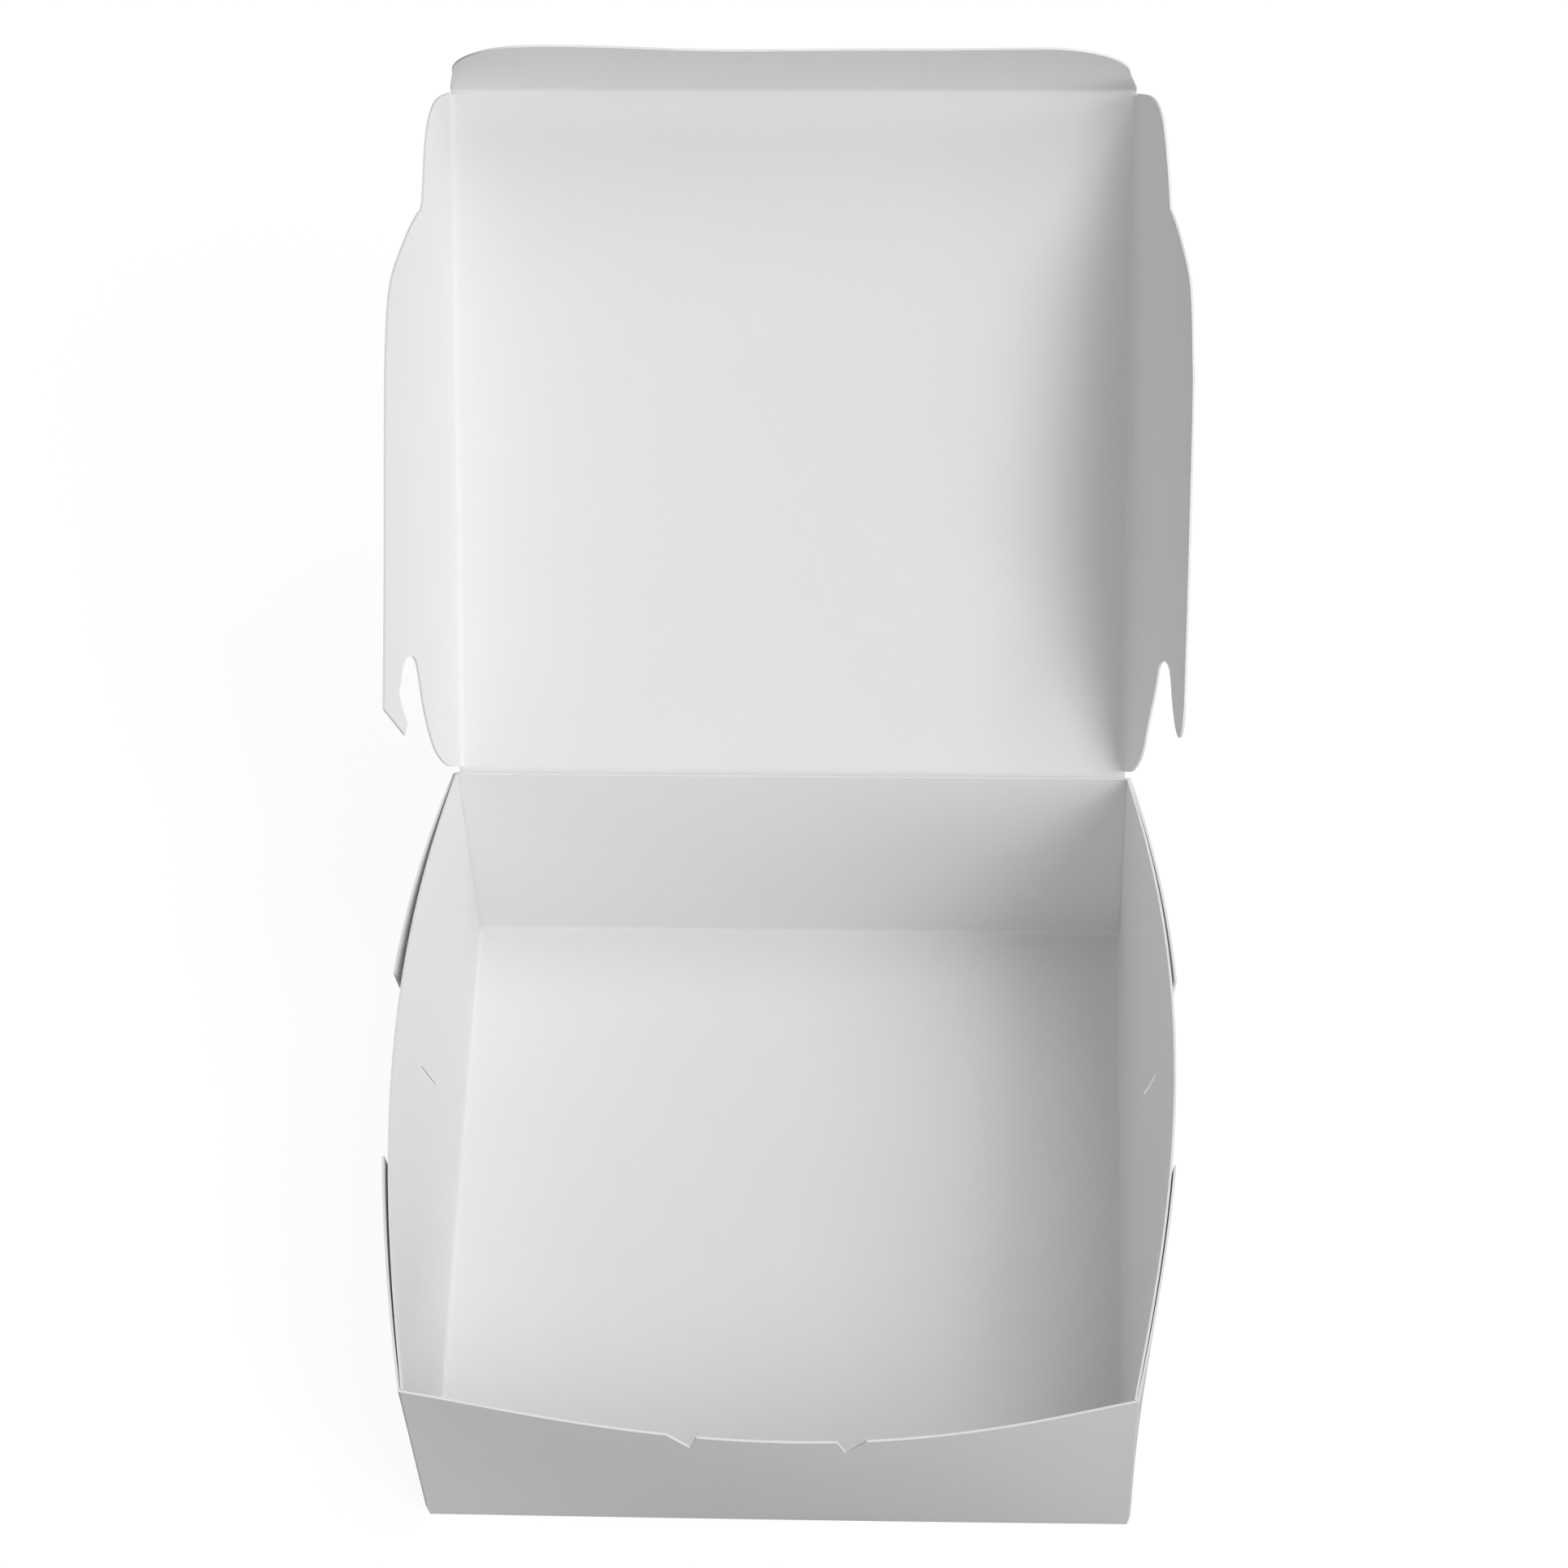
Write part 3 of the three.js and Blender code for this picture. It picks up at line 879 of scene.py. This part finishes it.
@dataclass
class SideFlap:
    """One of the lid's side flaps, with its front lobe, lock finger and slot. Millimetres.

    Attributes:
        foot_curve: Shares of foot_depth, and distances from the hinge.
        slot_curve: Shares of slot_width, from the slot's middle and back from its root.
        hook_curve: Distances past the slot's outer side, and back from its root.
        hook_barb: Distances past the slot's outer side, then past the edge, and from the tip.
        finger_curve: The first pair as in hook_curve, the others past the finger and from its tip.
        rear_curve: Shares of the lid's length.
        shoulder_curve: Shares of the shoulder's fall, and of its length.
        lobe_curve: Shares of lobe_depth, and of lobe_rounding, which begins at lobe_curve_from.
    """

    lid: Lid
    side: Side
    middle_depth: float
    lobe_depth: float
    lobe_length: float
    lobe_rounding: float
    foot_depth: float
    hooked: bool
    rear_depth: float = 42.0
    shoulder_length: float = 30.0
    finger_root: float = 28.0
    finger_tip: float = 12.0
    slot_depth: float = 27.8
    slot_width: float = 10.2
    curl: float = -0.1
    curl_from: float = 0.1
    foot_curve: Knots = ((0.36, 2.0), (0.66, 6.5), (0.88, 14.5))
    slot_curve: Knots = ((-0.33, 0.12), (0.0, 0.0), (0.33, 0.12), (0.5, 0.5))
    hook_curve: Knots = ((1.0, 7.5), (-0.6, 11.0), (-3.3, 14.6))
    hook_barb: Knots = ((-1.8, -0.8), (0.0, 6.0))
    finger_curve: Knots = ((0.8, 8.0), (3.0, 3.2), (1.2, 0.8), (-1.0, 3.0), (0.0, 8.0))
    rear_curve: tuple[float, float] = (0.3, 0.55)
    shoulder_curve: Knots = ((0.83, 0.5), (0.4, 0.16))
    shoulder_drop: float = 0.6
    lobe_lean: float = 1.2
    lobe_shift: float = 0.5
    lobe_curve: Knots = ((0.78, 0.36), (0.5, 0.11))
    lobe_curve_from: float = 0.9
    loops: int = 30
    depth_loops: int = 10

    @property
    def name(self) -> str:
        """The flap's body, and the middle of its node's name."""
        return f"{self.side.name.lower()}_flap"

    def outline(self) -> list[Vector]:
        """Cut line of the flap: x is the depth from the crease and y the distance from the hinge.

        Returns:
            The cut line's points in order, mirrored for the left flap.
        """
        lobe_start = self.lid.length - self.lobe_length
        outer = self.slot_depth + self.slot_width / 2.0
        inner = self.slot_depth - self.slot_width / 2.0
        root, tip, end, rear = self.finger_root, self.finger_tip, self.lid.length, self.rear_depth
        cut = Outline(CREASE_REACH, FLAP_REAR_GAP)
        foot = [(self.foot_depth * share, y) for share, y in self.foot_curve]
        cut.spline(foot + [(inner, root - self.slot_width / 2.0)])
        cut.spline([
            (self.slot_depth + self.slot_width * across, root - self.slot_width * down)
            for across, down in self.slot_curve
        ])
        if self.hooked:
            cut.spline([(outer + beyond, root - down) for beyond, down in self.hook_curve])
            (inset, drop), (flush, rise) = self.hook_barb
            cut.line(outer + inset, tip + drop).line(rear + flush, tip + rise)
        else:
            (out, down), *tip_knots = self.finger_curve
            sides = (outer, (outer + rear) / 2.0, rear, rear)
            around = [(x + beyond, tip + up) for x, (beyond, up) in zip(sides, tip_knots)]
            cut.spline([(outer + out, root - down)] + around)
        nearer, farther = self.rear_curve
        cut.spline([
            ((rear + self.middle_depth) / 2.0, end * nearer),
            (self.middle_depth, end * farther),
            (self.middle_depth - self.shoulder_drop, lobe_start - self.shoulder_length),
        ])
        fall = self.middle_depth - self.lobe_depth
        shoulder = [
            (self.lobe_depth + fall * share, lobe_start - self.shoulder_length * back)
            for share, back in self.shoulder_curve
        ]
        cut.spline(shoulder + [(self.lobe_depth + self.lobe_lean, lobe_start + self.lobe_shift)])
        lobe = [
            (self.lobe_depth * share, end - self.lobe_rounding * back) for share, back in self.lobe_curve
        ]
        corner = (self.lobe_depth - self.lobe_lean, end - self.lobe_rounding * self.lobe_curve_from)
        cut.spline([corner] + lobe + [(CREASE_REACH, end - FLAP_FRONT_GAP)])
        return [Vector((self.side.value * point.x, point.y)) for point in cut.points]

    def build(self) -> bpy.types.Object:
        """Cuts and curls the flap.

        Returns:
            The finished flap.
        """
        flap = Bench.outline_face(f"{self.name}_sheet", self.outline())
        reach = self.side.value * self.rear_depth
        Bench.cut_loops(flap, 1, spread(0.0, self.lid.length, self.loops))
        Bench.cut_loops(flap, 0, spread(min(0.0, reach), max(0.0, reach), self.depth_loops))
        Bench.face_up(flap)
        for vertex in flap.data.vertices:
            depth = abs(vertex.co.x) / self.rear_depth
            along = vertex.co.y / self.lid.length
            vertex.co.z += self.curl * smooth_step(self.curl_from, 1.0, depth) * math.sin(math.pi * along)
        Bench.thicken(flap, offset=0.0)
        piece = Bench.finish(flap, self.lid.side_place(self.side))
        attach(piece, self.name)
        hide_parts(f"lid_{self.name}")
        return piece


@dataclass
class FrontFlap:
    """The lid's front tuck flap. Millimetres."""

    lid: Lid
    depth: float = 29.7
    rounding: float = 18.5
    side_taper: float = 1.6
    hump: float = 0.4
    hump_x: float = -47.0
    sag: float = 0.6
    sag_x: float = -14.0
    broad_share: float = 0.6
    broad_until: float = 0.3
    wave_width: float = 22.0
    loops: int = 40
    depth_loops: int = 8

    def swell(self, x: float, centre: float) -> float:
        """Height from 0 to 1 of a wave's smooth swell at a place along the crease."""
        return math.exp(-(((x - centre) / self.wave_width) ** 2))

    def wave(self, x: float) -> float:
        """How far the flap's free edge stands off its plane at a place along the crease.

        Args:
            x: The place, from the crease's middle.

        Returns:
            The height, up in the flap's own frame.
        """
        sag_swell = self.swell(x, self.sag_x)
        fade = 1.0 - smooth_step(self.broad_until, 1.0, abs(x) / self.lid.front_width * 2.0)
        broad = self.broad_share * fade * (1.0 if x > self.sag_x else sag_swell)
        narrow = (1.0 - self.broad_share) * sag_swell
        return self.sag * (broad + narrow) - self.hump * self.swell(x, self.hump_x)

    def outline(self) -> list[Vector]:
        """Cut line of the flap: x along its crease, y out from it.

        Returns:
            The cut line's points in order.
        """
        half = self.lid.front_width / 2.0
        waist = half - self.side_taper
        shoulder = self.depth - self.rounding
        centre = waist - self.rounding
        cut = Outline(-half, CREASE_REACH)
        cut.line(half, CREASE_REACH)
        cut.arc(centre, shoulder, self.rounding, 0.0, 90.0)
        cut.arc(-centre, shoulder, self.rounding, 90.0, 180.0)
        return cut.points

    def build(self) -> bpy.types.Object:
        """Cuts the flap.

        Returns:
            The finished flap.
        """
        flap = Bench.outline_face("front_flap_sheet", self.outline())
        half = self.lid.front_width / 2.0
        Bench.cut_loops(flap, 0, spread(-half, half, self.loops))
        Bench.cut_loops(flap, 1, spread(0.0, self.depth, self.depth_loops))
        Bench.face_up(flap)
        for vertex in flap.data.vertices:
            vertex.co.z += self.wave(vertex.co.x) * (vertex.co.y / self.depth) ** 2
        Bench.thicken(flap, offset=0.0)
        piece = Bench.finish(flap, self.lid.front_place())
        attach(piece, "front_flap")
        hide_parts("lid_front_flap")
        return piece


@dataclass
class Crease:
    """Creased board across one joint, bent to the joint's angle at rest. Millimetres."""

    name: str
    bodies: tuple[str, str]
    origin: Vector
    along: Vector
    into_first: Vector
    into_second: Vector
    start: float
    end: float
    radius: float = CREASE_RADIUS
    steps: int = 10
    loops: int = 24

    def frame(self) -> tuple[Matrix, float]:
        """Frame of the crease, and the angle that the board turns there.

        Returns:
            The frame, with X along the crease and Y out of the first panel, and the angle in radians.
        """
        x = self.along.normalized()
        y = -self.into_first.normalized()
        turn = y.angle(self.into_second)
        z = (self.into_second - y * self.into_second.dot(y)).normalized()
        matrix = Matrix((x, y, z)).transposed().to_4x4()
        matrix.translation = self.origin
        return matrix, turn

    def build(self) -> bpy.types.Object:
        """Bends a strip of board round the crease.

        Returns:
            The finished strip.
        """
        matrix, turn = self.frame()
        flat = self.radius * math.tan(turn / 2.0)
        straight = CREASE_REACH - flat
        strip = Bench.plane(self.name, self.end - self.start, straight)
        middle = (self.start + self.end) / 2.0
        strip.data.transform(Matrix.Translation((middle, -flat - straight / 2.0, 0.0)))
        Bench.pick_edges(strip, lambda a, b: edge_at(a, b, 1, -flat))
        bpy.ops.mesh.spin(
            steps=self.steps, angle=turn, center=(0.0, -flat, self.radius), axis=(-1.0, 0.0, 0.0)
        )
        bpy.ops.object.mode_set(mode="OBJECT")
        tip = Vector((0.0, flat * math.cos(turn), flat * math.sin(turn)))
        out = Vector((0.0, math.cos(turn), math.sin(turn))) * straight
        Bench.extrude(strip, lambda a, b: edge_at(a, b, 1, tip.y) and edge_at(a, b, 2, tip.z), tuple(out))
        Bench.cut_loops(strip, 0, spread(self.start, self.end, self.loops))
        Bench.face_up(strip)
        Bench.thicken(strip, offset=0.0)
        piece = Bench.finish(strip, matrix)
        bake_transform(piece)
        return piece


def creases(tray: Tray, lid: Lid) -> list[Crease]:
    """Lists the box's four hinging creases.

    Args:
        tray: The tray, for the back wall's lean.
        lid: The lid, for its creases' places.

    Returns:
        The four creases, not yet built.
    """
    panel = lid.place().to_3x3()
    hinge = lid.place().translation
    wall = Vector((0.0, -tray.back_lean, -tray.hinge_height))
    front = lid.front_place()
    hinge_half = lid.hinge_width / 2.0 + HINGE_OVERHANG
    front_half = lid.front_width / 2.0
    listed = [
        Crease(
            "lid_hinge_crease", ("tray", "lid"), hinge, ACROSS, wall, panel @ FORWARD,
            -hinge_half, hinge_half, radius=HINGE_RADIUS,
        ),
        Crease(
            "front_flap_crease", ("lid", "front_flap"), front.translation, ACROSS, panel @ -FORWARD,
            front.to_3x3() @ FORWARD, -front_half, front_half,
        ),
    ]
    for side in Side:
        place = lid.side_place(side)
        flap = f"{side.name.lower()}_flap"
        along = place.to_3x3() @ FORWARD
        outwards = panel @ (side.value * ACROSS)
        outwards -= along * outwards.dot(along)
        out_flap = place.to_3x3() @ (side.value * ACROSS)
        listed.append(
            Crease(
                f"{flap}_crease", ("lid", flap), place.translation, along, -outwards, out_flap,
                FLAP_REAR_GAP, lid.length - CREASE_REACH,
            )
        )
    return listed


@dataclass(frozen=True)
class Lamp:
    """A soft lamp far away: the direction towards it, its strength and its width in degrees."""

    name: str
    direction: tuple[float, float, float]
    strength: float
    softness: float


@dataclass
class Studio:
    """White floor, soft light from the right, and the camera. Millimetres and degrees."""

    yaw: float = 4.644
    elevation: float = 55.503
    roll: float = -3.376
    target: tuple[float, float, float] = (-4.815, 115.83, 0.0)
    distance: float = 1130.85
    lens: float = 109.93
    lamps: tuple[Lamp, ...] = (
        Lamp("key", direction=(0.58, -0.45, 0.68), strength=0.95, softness=26.0),
        Lamp("low", direction=(0.57, -0.80, 0.16), strength=0.72, softness=30.0),
        Lamp("top", direction=(0.40, 0.10, 0.91), strength=0.65, softness=30.0),
        Lamp("back", direction=(0.32, 0.42, 0.85), strength=0.2, softness=35.0),
        Lamp("fill", direction=(-0.30, -0.95, 0.10), strength=0.45, softness=110.0),
    )
    ambient: float = 0.27
    floor_shade: float = 0.2
    floor_seen: float = 0.8
    floor_glow: float = 1.09
    glow_share: float = 0.85
    floor_size: float = 6000.0
    floor_drop: float = 0.1
    far_clip: float = 20000.0

    def camera(self) -> None:
        """Sets the camera at the photograph's viewing angle."""
        yaw, raised, roll = (math.radians(v) for v in (self.yaw, self.elevation, self.roll))
        level = math.cos(raised)
        back = Vector((math.sin(yaw) * level, -math.cos(yaw) * level, math.sin(raised)))
        right = Vector((0.0, 0.0, 1.0)).cross(back).normalized()
        up = back.cross(right)
        rolled = right * math.cos(roll) + up * math.sin(roll)
        upright = up * math.cos(roll) - right * math.sin(roll)
        data = bpy.data.cameras.new("camera")
        data.lens = self.lens
        data.clip_end = self.far_clip * MM
        camera = bpy.data.objects.new("camera", data)
        matrix = Matrix((rolled, upright, back)).transposed().to_4x4()
        matrix.translation = (Vector(self.target) + back * self.distance) * MM
        camera.matrix_world = matrix
        bpy.context.collection.objects.link(camera)
        bpy.context.scene.camera = camera

    def hang_lamps(self) -> None:
        """Adds the soft lamps."""
        for lamp in self.lamps:
            data = bpy.data.lights.new(lamp.name, "SUN")
            data.energy = lamp.strength
            data.angle = math.radians(lamp.softness)
            hung = bpy.data.objects.new(lamp.name, data)
            hung.rotation_mode = "QUATERNION"
            hung.rotation_quaternion = Vector(lamp.direction).to_track_quat("Z", "Y")
            bpy.context.collection.objects.link(hung)

    def surroundings(self) -> None:
        """Sets the even light from all round, which the camera sees as white."""
        world = bpy.data.worlds.new("surroundings")
        bpy.context.scene.world = world
        world.use_nodes = True
        nodes, links = world.node_tree.nodes, world.node_tree.links
        nodes.clear()
        path = nodes.new("ShaderNodeLightPath")
        seen = nodes.new("ShaderNodeMath")
        seen.operation = "MAXIMUM"
        links.new(path.outputs["Is Camera Ray"], seen.inputs[0])
        links.new(path.outputs["Is Glossy Ray"], seen.inputs[1])
        light = nodes.new("ShaderNodeBackground")
        light.inputs["Color"].default_value = grey(1.0)
        light.inputs["Strength"].default_value = self.ambient
        white = nodes.new("ShaderNodeBackground")
        white.inputs["Color"].default_value = grey(1.0)
        mix = nodes.new("ShaderNodeMixShader")
        links.new(seen.outputs[0], mix.inputs["Fac"])
        links.new(light.outputs[0], mix.inputs[1])
        links.new(white.outputs[0], mix.inputs[2])
        out = nodes.new("ShaderNodeOutputWorld")
        links.new(mix.outputs[0], out.inputs["Surface"])

    def floor(self) -> bpy.types.Object:
        """Adds the pale floor, which the camera sees as white and which keeps a faint shadow.

        Returns:
            The floor.
        """
        floor = Bench.plane("floor", self.floor_size * MM, self.floor_size * MM)
        floor.location.z = -self.floor_drop * MM
        material = bpy.data.materials.new("floor_white")
        material.use_nodes = True
        nodes, links = material.node_tree.nodes, material.node_tree.links
        nodes.clear()
        path = nodes.new("ShaderNodeLightPath")
        matt = nodes.new("ShaderNodeBsdfDiffuse")
        shade = nodes.new("ShaderNodeMix")
        shade.data_type = "RGBA"
        shade.inputs["A"].default_value = grey(self.floor_shade)
        shade.inputs["B"].default_value = grey(self.floor_seen)
        links.new(path.outputs["Is Camera Ray"], shade.inputs["Factor"])
        links.new(shade.outputs["Result"], matt.inputs["Color"])
        glow = nodes.new("ShaderNodeEmission")
        glow.inputs["Strength"].default_value = self.floor_glow
        share = nodes.new("ShaderNodeMath")
        share.operation = "MULTIPLY"
        share.inputs[1].default_value = self.glow_share
        links.new(path.outputs["Is Camera Ray"], share.inputs[0])
        mix = nodes.new("ShaderNodeMixShader")
        links.new(share.outputs[0], mix.inputs["Fac"])
        links.new(matt.outputs[0], mix.inputs[1])
        links.new(glow.outputs[0], mix.inputs[2])
        out = nodes.new("ShaderNodeOutputMaterial")
        links.new(mix.outputs[0], out.inputs["Surface"])
        floor.data.materials.append(material)
        return floor

    def build(self) -> None:
        """Sets up the view, the light and the floor."""
        self.camera()
        self.hang_lamps()
        self.surroundings()
        self.floor()
        bpy.context.scene.view_settings.view_transform = "Standard"


def main() -> None:
    """Builds the box's pieces in order and reports each one."""
    logging.basicConfig(level=logging.INFO, format="%(name)s: %(message)s")
    Studio().build()
    tray, lid = Tray(), Lid()
    builders = [
        tray,
        lid,
        SideFlap(
            lid, Side.LEFT, middle_depth=38.6, lobe_depth=18.2, lobe_length=27.2,
            lobe_rounding=27.0, foot_depth=22.4, hooked=True,
        ),
        SideFlap(
            lid, Side.RIGHT, middle_depth=43.4, lobe_depth=24.6, lobe_length=26.0,
            lobe_rounding=18.0, foot_depth=20.5, hooked=False,
        ),
        FrontFlap(lid),
        *creases(tray, lid),
    ]
    for builder in builders:
        piece = builder.build()
        log.info("%s: %d faces", piece.name, len(piece.data.polygons))


if __name__ == "__main__":
    main()
